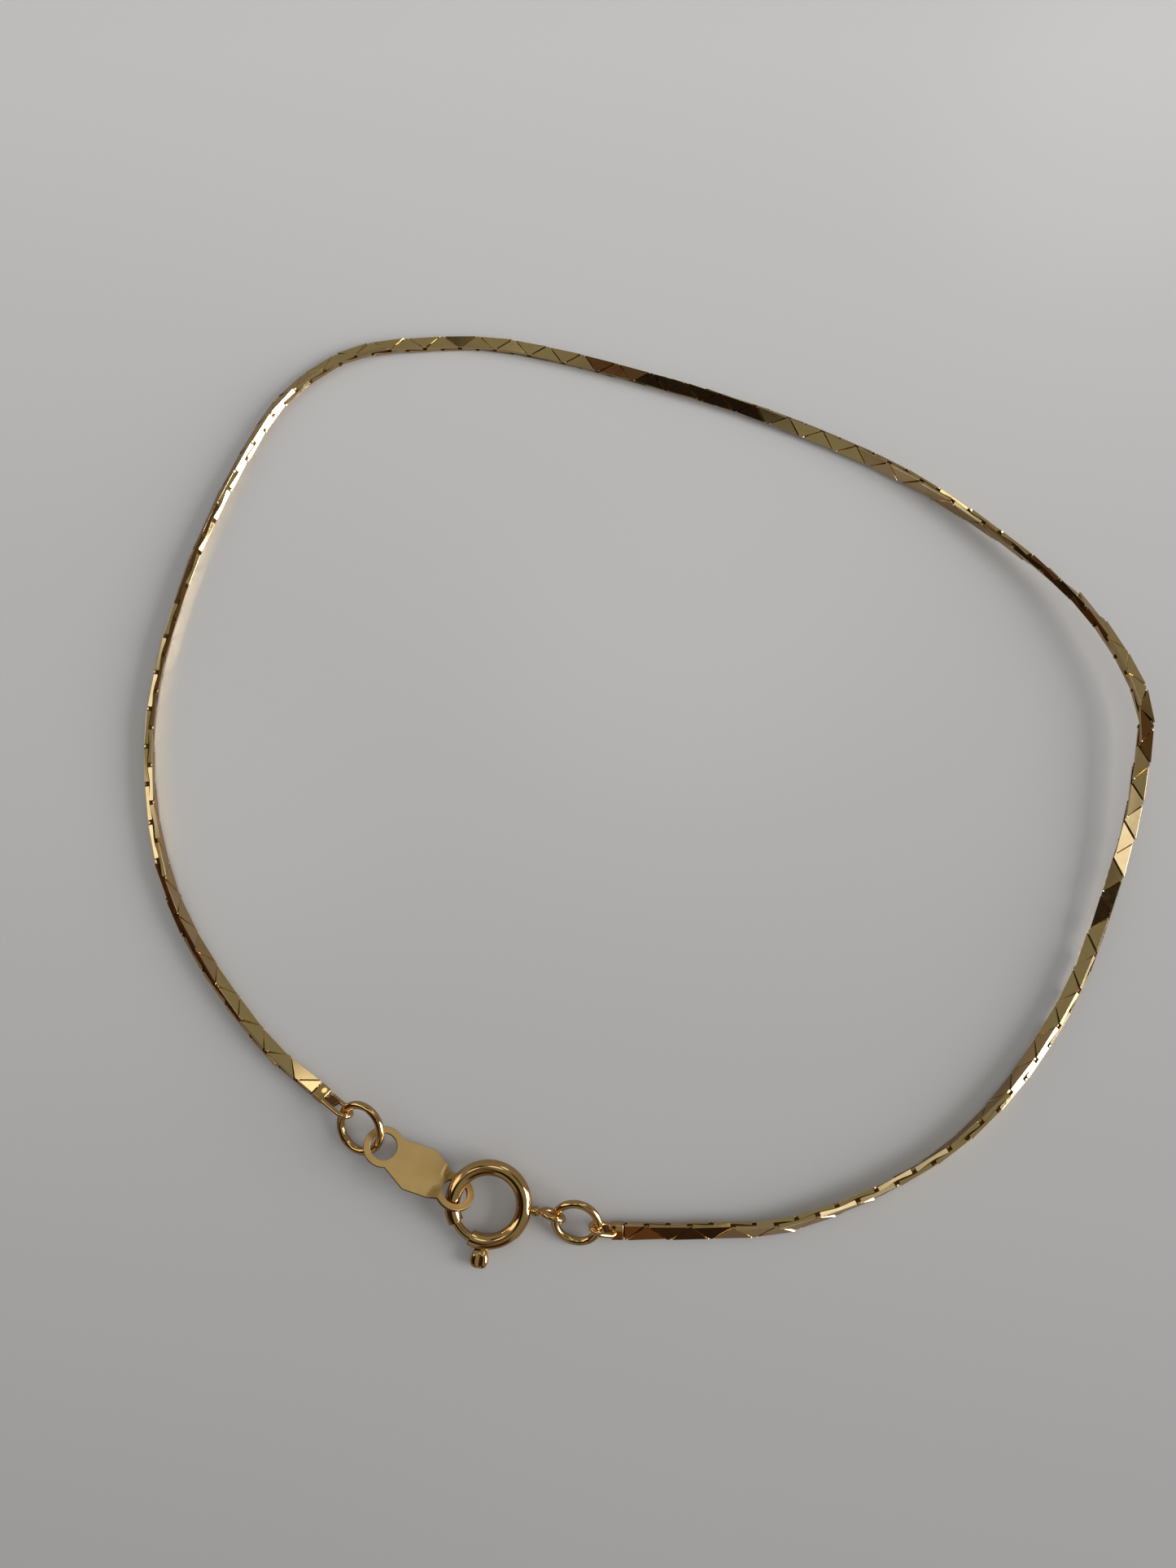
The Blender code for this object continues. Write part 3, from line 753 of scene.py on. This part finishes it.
def spring_tube():
    """Hollow tube with a slot in its outer wall and softened rims at its mouth."""
    sides = 24
    reach = np.degrees((NECK_WIDTH / 2 + SLOT_PLAY) / (RING_OUTER / 2))
    slot_start, slot_end = KNOB_PLACE - reach, KNOB_PLACE + LATCH_TRAVEL + reach
    near = 0.01
    rim = MOUTH_RIM_TURN
    angles = np.concatenate(
        [
            [MOUTH_END, MOUTH_END + rim],
            np.linspace(MOUTH_END + 2 * rim, slot_start, 4),
            np.linspace(slot_start, slot_end, 25)[1:],
            np.linspace(slot_end, MOUTH_START + 360 - 2 * rim, 104)[1:],
            [MOUTH_START + 360 - rim, MOUTH_START + 360],
        ]
    )
    soft = np.full(len(angles), 0.0)
    soft[[0, -1]] = MOUTH_RIM_SOFT
    outer = ring_skin(angles, RING_TUBE / 2 - soft, sides)
    inner = ring_skin(angles, np.full(len(angles), RING_BORE / 2), sides)
    rows = len(angles)
    spans = zip(angles, angles[1:])
    open_rows = {i for i, (a, b) in enumerate(spans) if slot_start - near < a and b < slot_end + near}
    open_sides = {sides - 2, sides - 1, 0, 1}
    offset = rows * sides
    faces = []
    for i in range(rows - 1):
        for j in range(sides):
            m = (j + 1) % sides
            quad = (i * sides + j, i * sides + m, (i + 1) * sides + m, (i + 1) * sides + j)
            if i in open_rows and j in open_sides:
                if i - 1 not in open_rows:
                    faces.append((quad[0], quad[1], quad[1] + offset, quad[0] + offset))
                if i + 1 not in open_rows:
                    faces.append((quad[2], quad[3], quad[3] + offset, quad[2] + offset))
                if j == sides - 2:
                    faces.append((quad[3], quad[0], quad[0] + offset, quad[3] + offset))
                if j == 1:
                    faces.append((quad[1], quad[2], quad[2] + offset, quad[1] + offset))
                continue
            faces.append(quad)
            faces.append(tuple(k + offset for k in reversed(quad)))
    for i in (0, rows - 1):
        for j in range(sides):
            m = (j + 1) % sides
            quad = (i * sides + j, i * sides + m, i * sides + m + offset, i * sides + j + offset)
            faces.append(quad[::-1] if i == 0 else quad)
    return np.concatenate([outer, inner]), faces


def tongue():
    """The latch's rod, with rounded ends."""
    start, end = MOUTH_START - TONGUE_SEAT, KNOB_PLACE + TONGUE_TAIL
    lead = np.degrees(LATCH_ROD / 2 / ring_radius)
    sides, tip = 20, 0.02
    quarter = np.linspace(0, pi / 2, 6)
    between = np.linspace(start + lead, end - lead, 50)[1:-1]
    cap = np.maximum(np.sin(quarter), tip)
    angles = np.concatenate(
        [start + lead * (1 - np.cos(quarter)), between, end - lead * (1 - np.cos(quarter[::-1]))]
    )
    radii = LATCH_ROD / 2 * np.concatenate([cap, np.ones(len(between)), cap[::-1]])
    points = ring_skin(angles, radii, sides)
    faces = grid_faces(len(angles), sides, False, True)
    last = len(points)
    faces += [tuple(range(sides))[::-1], tuple(range(last - sides, last))]
    return points, faces


def thumb():
    """Pillowed thumb piece with a groove down both faces, local X outward from the ring's centre."""
    root = RING_OUTER / 2 + SLOT_PLAY
    run = KNOB_TIP - root
    shares, widths = zip(*KNOB_WIDTHS)
    rows, columns = 28, 25
    along = np.sin(np.linspace(0, pi / 2, rows))
    half = np.interp(along, shares, widths)
    end = along > shares[-1]
    half[end] = widths[-1] * np.sqrt(np.maximum(0, 1 - ((along[end] - shares[-1]) / NOSE_RUN) ** 2))
    across = np.sin(np.linspace(-pi / 2, pi / 2, columns))
    points = []
    for face in (1, -1):
        for a, w in zip(along, half):
            for c in across:
                rim = max(0.0, 1 - abs(c) ** 5) ** 0.5
                nose = max(0.0, 1 - a**9) ** 0.5
                heel = min(1.0, HEEL_HEIGHT + HEEL_RISE * a)
                y = c * w * KNOB_WIDTH / 2
                fade = min(1.0, max(0.0, (a - GROOVE_START) / GROOVE_FADE))
                groove = GROOVE_DEPTH * np.exp(-((y / GROOVE_REACH) ** 2)) * fade
                z = KNOB_THICKNESS / 2 * rim * nose * heel * (1 - groove)
                points.append((root + run * a, y, face * z))
    faces = grid_faces(rows, columns, False, False)
    back = [tuple(rows * columns + i for i in reversed(face)) for face in faces]
    heel_faces = [(j + 1, j, rows * columns + j, rows * columns + j + 1) for j in range(columns - 1)]
    return np.array(points), faces + back + heel_faces


# Places of the pieces, worked out as each hangs in the next
knob_drop = (KNOB_TIP * sin(radians(RING_TILT)) + KNOB_THICKNESS / 2) * MM
ring = lying(RING_PLACE + knob_drop * UP, 90, RING_TILT)
right_hole = ring @ (ring_radius * MM * heading(TAG_ON_RING))
left_rest = (left_radius * sin(radians(LEFT_JUMP_TILT)) + JUMP_WIRE / 2) * MM
left_held = rim_height(left_radius, LEFT_JUMP_RISE, LEFT_JUMP_TILT, LEFT_JUMP_HEADING + 180) * MM
drop = right_hole.z - left_rest - left_held
level_run = sqrt((TAG_HOLES_APART * MM) ** 2 - drop**2)
left_hole = right_hole + level_run * heading(TAG_HEADING) - drop * UP
hang = (left_radius + TAG_HOLE / 2 - JUMP_WIRE / 2 - TAG_PLAY) * MM
left_centre = left_hole + hang * heading(LEFT_JUMP_HEADING)
left_centre.z = left_rest
left_jump = lying(left_centre, LEFT_JUMP_RISE, LEFT_JUMP_TILT)

right_rest = (right_radius * sin(radians(RIGHT_JUMP_TILT)) + JUMP_WIRE / 2) * MM
right_held = rim_height(right_radius, RIGHT_JUMP_RISE, RIGHT_JUMP_TILT, RIGHT_JUMP_HEADING + 180) * MM
eye_centre = RING_PLACE + (RING_OUTER / 2 + EYE_STANDOFF + EYE_OUTER / 2) * MM * heading(EYE_PLACE)
eye_centre.z = right_rest + right_held - EYE_DROP * MM
eye_lean = cos(radians(EYE_LEAN)) * UP + sin(radians(EYE_LEAN)) * heading(EYE_HEADING - 90)
eye = framed(eye_centre, heading(EYE_HEADING), eye_lean)
reach = (eye_radius + right_radius - (EYE_WIRE + JUMP_WIRE) / 2 - LINK_PLAY) * MM
right_centre = eye_centre + reach * heading(RIGHT_JUMP_HEADING)
right_centre.z = right_rest
right_jump = lying(right_centre, RIGHT_JUMP_RISE, RIGHT_JUMP_TILT)

# The chain between its two end pieces
right_end = right_centre / MM + (right_radius + RIGHT_REACH) * heading(RIGHT_HEADING)
left_end = left_centre / MM + (left_radius + LEFT_REACH) * heading(LEFT_HEADING)
right_end.z = left_end.z = 0
line, length = curve_through([right_end, *[Vector(point) for point in ROUTE], left_end])
form(
    "cobra_chain_links",
    [
        put(chain_plates(line, length), Matrix(), chain_gold, False),
        # The core gets painted shade
        put(chain_core(line, length), Matrix(), painted_shade_core_gold, False),
    ],
    "cobra_chain",
    "bracelet",
)
right_hold = (right_jump, right_radius, RIGHT_HEADING)
left_hold = (left_jump, left_radius, LEFT_HEADING)
end_piece("end_loop_right_soldered", line, length, True, right_hold, "end_loop_right")
end_piece("end_loop_left_soldered", line, length, False, left_hold, "end_loop_left")

# The jump rings and the tag
right_ring = loop_wire(
    right_radius, 0, JUMP_WIRE, segments=120, sides=24, swell=solder_swell(place=-60, width=4, amount=0.03)
)
form(
    "jump_ring_right_wire",
    [put(right_ring, right_jump, wire_gold)],
    "jump_ring_right",
    "bracelet",
)
left_ring = loop_wire(
    left_radius, 0, JUMP_WIRE, segments=120, sides=24, swell=solder_swell(place=215, width=4, amount=0.06)
)
form(
    "jump_ring_left_wire",
    [put(left_ring, left_jump, wire_gold)],
    "jump_ring_left",
    "bracelet",
)
tag_form(left_hole, right_hole)

# The clasp: tube, ball and eye are soldered together, and the latch slides in the tube
seat = ring @ (RING_OUTER / 2 * MM * heading(EYE_PLACE))
ball_place = seat.lerp(eye.translation - eye_radius * MM * heading(EYE_HEADING), BALL_SHARE)
eye_swell = solder_swell(place=180, width=14, amount=0.1)
eye_wire = loop_wire(eye_radius, 0, EYE_WIRE, segments=72, sides=20, swell=eye_swell)
form(
    "spring_ring_tube",
    [
        put(spring_tube(), ring, wire_gold),
        put(eye_wire, eye, wire_gold),
        put(blob(BALL_RADIUS, 1.0), Matrix.Translation(ball_place), wire_gold),
    ],
    "spring_ring",
    "bracelet",
)
turned = ring @ Matrix.Rotation(radians(KNOB_PLACE), 4, "Z")
neck_run = RING_OUTER / 2 + NECK_LENGTH + NECK_OVERLAP - ring_radius
neck = soft_block(Vector((neck_run, NECK_WIDTH, NECK_THICKNESS)), NECK_ROUNDING)
neck_place = turned @ Matrix.Translation(Vector((ring_radius + neck_run / 2, 0, 0)) * MM)
form(
    "latch_slide_knob",
    [
        put(tongue(), ring, wire_gold),
        put(neck, neck_place, wire_gold),
        put(thumb(), turned, wire_gold),
    ],
    "latch",
    "latch",
)


# Table, light and camera
TABLE_REACH = 1.5
TABLE_DROP = 0.00001
TABLE_ROUGHNESS = 0.22
# Painted light and shade on the table: its colour runs from darker at the near side to lighter at the far
# side
TABLE_PAINTED_SHADE_NEAR = (-0.075, (0.455, 0.455, 0.46, 1))
TABLE_PAINTED_LIGHT_FAR = (0.055, (0.90, 0.90, 0.91, 1))
# Painted dark reflection: to glossy rays the table shows this dark brown, by the share below, so the gold
# mirrors a darker table than the camera sees
PAINTED_REFLECTION_COLOUR = (0.10, 0.045, 0.02, 1)
MIRRORED_SHADE = 0.6
ROOM_COLOUR = (0.19, 0.18, 0.13, 1)
OPEN_LIGHT = 0.34
BACKDROP = 0.45
LENS = 25.99
SENSOR = 36
CAMERA_HEIGHT = 0.06946
CAMERA_LEAN = 14

# Patches of the room that the gold mirrors: azimuth, elevation, half angle, soft edge, colour
ROOM = [
    (-131, 50, 18, 8, (0.012, 0.008, 0.006)),
    (125, 56, 8, 4, (0.02, 0.015, 0.01)),
    (-175, 14, 28, 10, (0.040, 0.016, 0.008)),
    (-86, 29, 13, 6, (0.09, 0.04, 0.018)),
    (-86, 8, 15, 6, (0.02, 0.011, 0.007)),
    (-138, 78, 5, 4, (0.07, 0.035, 0.02)),
    (18, 56, 9, 5, (0.07, 0.04, 0.02)),
    (60, 41, 5, 3, (1.3, 1.2, 1.0)),
    (78, 70, 6, 4, (0.95, 0.93, 0.88)),
    (177, 48, 7, 3, (1.2, 1.1, 0.95)),
    (168, 37, 8, 4, (1.15, 1.05, 0.85)),
    (158, 23, 8, 4, (1.15, 1.05, 0.85)),
    (148, 68, 5, 3, (1.0, 0.92, 0.76)),
]

# Which sockets of a colour Mix node hold its two colours and its result
MIX_FIRST, MIX_SECOND, MIX_RESULT = 6, 7, 2


def direction(azimuth, elevation):
    """Unit vector: azimuth anticlockwise from +X, elevation above the table."""
    flat = cos(radians(elevation))
    return Vector((flat * cos(radians(azimuth)), flat * sin(radians(azimuth)), sin(radians(elevation))))


def mixed(tree, share, first, second):
    """Output of a mix of two shaders, with the second one's share."""
    mix = tree.nodes.new("ShaderNodeMixShader")
    tree.links.new(share, mix.inputs["Fac"])
    tree.links.new(first, mix.inputs[1])
    tree.links.new(second, mix.inputs[2])
    return mix.outputs["Shader"]


def flat_light(tree, level):
    """Output of an even grey background."""
    light = tree.nodes.new("ShaderNodeBackground")
    light.inputs["Color"].default_value = (level, level, level, 1)
    return light.outputs["Background"]


def table():
    """A pale, slightly glossy table with painted light: lighter towards the far side, and a painted dark
    reflection where the gold mirrors it.
    """
    corners = [(-1, -1), (1, -1), (1, 1), (-1, 1)]
    mesh = bpy.data.meshes.new("table")
    mesh.from_pydata([(x * TABLE_REACH, y * TABLE_REACH, 0) for x, y in corners], [], [(0, 1, 2, 3)])
    made = bpy.data.objects.new("table", mesh)
    made.location.z = -TABLE_DROP
    bpy.context.collection.objects.link(made)
    material = bpy.data.materials.new("pale_table")
    material.use_nodes = True
    tree = material.node_tree
    link = tree.links.new
    shader = tree.nodes["Principled BSDF"]
    shader.inputs["Roughness"].default_value = TABLE_ROUGHNESS
    # Painted light: the base colour grows lighter towards the far side
    where = tree.nodes.new("ShaderNodeTexCoord")
    apart = tree.nodes.new("ShaderNodeSeparateXYZ")
    link(where.outputs["Object"], apart.inputs["Vector"])
    fade = tree.nodes.new("ShaderNodeMapRange")
    tone = tree.nodes.new("ShaderNodeValToRGB")
    fade.inputs["From Min"].default_value, tone.color_ramp.elements[0].color = TABLE_PAINTED_SHADE_NEAR
    fade.inputs["From Max"].default_value, tone.color_ramp.elements[1].color = TABLE_PAINTED_LIGHT_FAR
    link(apart.outputs["Y"], fade.inputs["Value"])
    link(fade.outputs["Result"], tone.inputs["Fac"])
    link(tone.outputs["Color"], shader.inputs["Base Color"])

    # Painted dark reflection, seen only by glossy rays
    shade = tree.nodes.new("ShaderNodeBsdfDiffuse")
    shade.inputs["Color"].default_value = PAINTED_REFLECTION_COLOUR
    path = tree.nodes.new("ShaderNodeLightPath")
    share = tree.nodes.new("ShaderNodeMath")
    share.operation = "MULTIPLY"
    share.inputs[1].default_value = MIRRORED_SHADE
    link(path.outputs["Is Glossy Ray"], share.inputs[0])
    mix = mixed(tree, share.outputs["Value"], shader.outputs["BSDF"], shade.outputs["BSDF"])
    link(mix, tree.nodes["Material Output"].inputs["Surface"])
    mesh.materials.append(material)


def room():
    """A dim room with darker and lighter patches for the gold to mirror, and even light on what is matt."""
    world = bpy.data.worlds.new("room")
    bpy.context.scene.world = world
    world.use_nodes = True
    tree = world.node_tree
    link = tree.links.new
    sky = tree.nodes["Background"]
    where = tree.nodes.new("ShaderNodeTexCoord")
    last = None
    for azimuth, elevation, half, edge, patch in ROOM:
        near = tree.nodes.new("ShaderNodeVectorMath")
        near.operation = "DOT_PRODUCT"
        near.inputs[1].default_value = direction(azimuth, elevation)
        link(where.outputs["Generated"], near.inputs[0])
        fade = tree.nodes.new("ShaderNodeMapRange")
        fade.interpolation_type = "SMOOTHSTEP"
        fade.inputs["From Min"].default_value = cos(radians(half + edge))
        fade.inputs["From Max"].default_value = cos(radians(half))
        link(near.outputs["Value"], fade.inputs["Value"])
        mix = tree.nodes.new("ShaderNodeMix")
        mix.data_type = "RGBA"
        link(fade.outputs["Result"], mix.inputs["Factor"])
        if last:
            link(last, mix.inputs[MIX_FIRST])
        else:
            mix.inputs[MIX_FIRST].default_value = ROOM_COLOUR
        mix.inputs[MIX_SECOND].default_value = (*patch, 1)
        last = mix.outputs[MIX_RESULT]
    link(last, sky.inputs["Color"])

    path = tree.nodes.new("ShaderNodeLightPath")
    even = flat_light(tree, OPEN_LIGHT)
    lit = mixed(tree, path.outputs["Is Diffuse Ray"], sky.outputs["Background"], even)
    seen = mixed(tree, path.outputs["Is Camera Ray"], lit, flat_light(tree, BACKDROP))
    link(seen, tree.nodes["World Output"].inputs["Surface"])


def window(name, azimuth, elevation, distance, width, height, power, colour):
    """A soft rectangular light that looks at the bracelet."""
    lamp = bpy.data.lights.new(name, "AREA")
    lamp.shape = "RECTANGLE"
    lamp.size = width
    lamp.size_y = height
    lamp.energy = power
    lamp.color = colour
    made = bpy.data.objects.new(name, lamp)
    bpy.context.collection.objects.link(made)
    towards = direction(azimuth, elevation)
    made.location = towards * distance
    made.rotation_euler = towards.to_track_quat("Z", "Y").to_euler()


def photo_camera():
    """The photograph's camera, straight above the table's origin and leaning towards the far side."""
    lens = bpy.data.cameras.new("photo_camera")
    lens.sensor_fit = "AUTO"
    lens.sensor_width = SENSOR
    lens.lens = LENS
    lens.clip_start = 0.001
    camera = bpy.data.objects.new("photo_camera", lens)
    bpy.context.collection.objects.link(camera)
    camera.location = (TABLE_ORIGIN.x, TABLE_ORIGIN.y, CAMERA_HEIGHT)
    camera.rotation_euler = (radians(CAMERA_LEAN), 0, 0)
    bpy.context.scene.camera = camera
    bpy.context.scene.view_settings.view_transform = "Standard"


table()
room()
window(
    "window_light",
    azimuth=-12,
    elevation=18,
    distance=1.2,
    width=0.74,
    height=0.80,
    power=13.6,
    colour=(1.0, 0.98, 0.96),
)
photo_camera()
